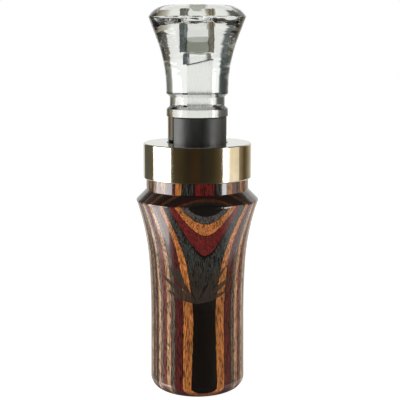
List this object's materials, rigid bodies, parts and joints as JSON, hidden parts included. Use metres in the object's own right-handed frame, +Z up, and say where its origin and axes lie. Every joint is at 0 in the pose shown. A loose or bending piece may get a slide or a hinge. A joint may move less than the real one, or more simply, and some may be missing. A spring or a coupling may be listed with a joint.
{
  "type": "duck call",
  "caption": "Reed duck call: flared laminated-wood barrel with a brass band, and a clear flared insert whose tone board, reeds and rubber wedge slide into the barrel.",
  "frame": {"origin": "centre of the barrel's mouthpiece end, on the surface the call stands on", "axes": "+Z up the call's axis from the mouthpiece to the bell; the reeds and the wedge face -Y"},
  "size_m": [0.036, 0.036, 0.1136],
  "materials": {
    "laminated_wood": "satin lacquer over multi-colour dyed veneers",
    "brass": "polished, lightly aged",
    "clear_acrylic": "polished clear",
    "black_rubber": "matte",
    "reed_film": "frosted translucent film"
  },
  "bodies": {
    "barrel": {"barrel": "laminated_wood", "band": "brass"},
    "insert": {"insert": "clear_acrylic", "wedge": "black_rubber"},
    "lower_reed": {"lower_reed": "reed_film"},
    "upper_reed": {"upper_reed": "reed_film"}
  },
  "joints": [
    {"name": "insert_slide", "type": "slide", "parent": "barrel", "child": "insert", "axis": [0, 0, 1], "range_m": [0, 0.05]},
    {"name": "lower_reed_flex", "type": "hinge", "parent": "insert", "child": "lower_reed", "pos_m": [0, -0.004, 0.063], "axis": [1, 0, 0], "range_deg": [-0.8, 1.4], "stiffness_Nm_per_rad": 0.0065, "deforming": ["lower_reed"]},
    {"name": "upper_reed_flex", "type": "hinge", "parent": "insert", "child": "upper_reed", "pos_m": [0, -0.004, 0.063], "axis": [1, 0, 0], "range_deg": [-0.8, 1.4], "stiffness_Nm_per_rad": 0.0073, "deforming": ["upper_reed"]}
  ],
  "couplings": [
    {"joint": "upper_reed_flex", "follows": "lower_reed_flex", "ratio": 1}
  ]
}
